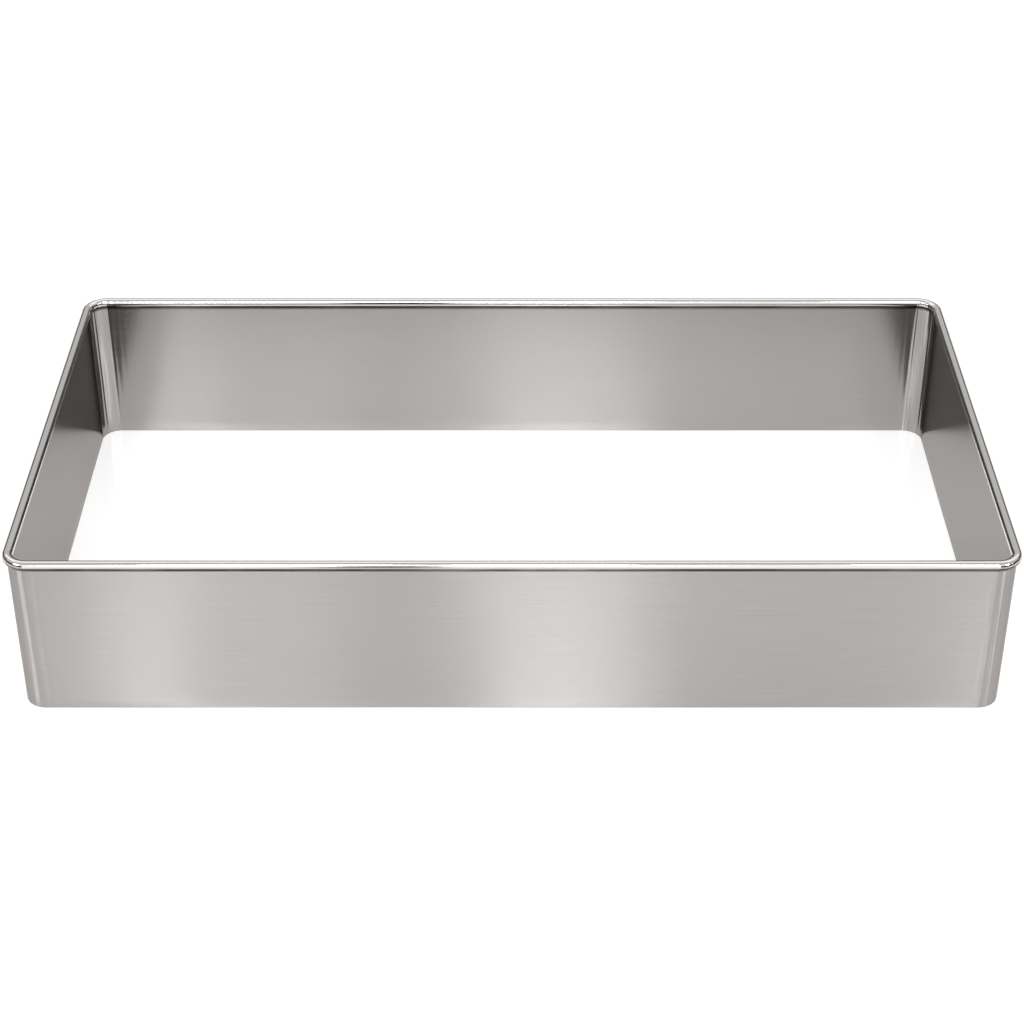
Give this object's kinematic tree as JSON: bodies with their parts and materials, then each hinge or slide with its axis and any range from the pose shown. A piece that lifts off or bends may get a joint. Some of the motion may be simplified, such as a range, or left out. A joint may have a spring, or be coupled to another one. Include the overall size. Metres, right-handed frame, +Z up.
{
  "type": "rectangular cake ring",
  "caption": "Bottomless rectangular baking ring of stainless strip with straight walls, rounded corners and a rim rolled over a wire.",
  "frame": {"origin": "centre of the bottom of the ring, on the plane that its bottom edge stands on", "axes": "+X along the long walls, +Y towards the rear wall, +Z up, towards the rolled rim"},
  "size_m": [0.2824, 0.1544, 0.051],
  "materials": {
    "band_steel": "satin walls with a horizontal grain, and a brighter, polished rim",
    "wire_steel": "drawn wire, plain",
    "weld_steel": "dressed flush and brushed"
  },
  "bodies": {
    "root": {"wall_band": "band_steel", "rim_wire": "wire_steel", "seam_weld": "weld_steel"}
  },
  "joints": []
}
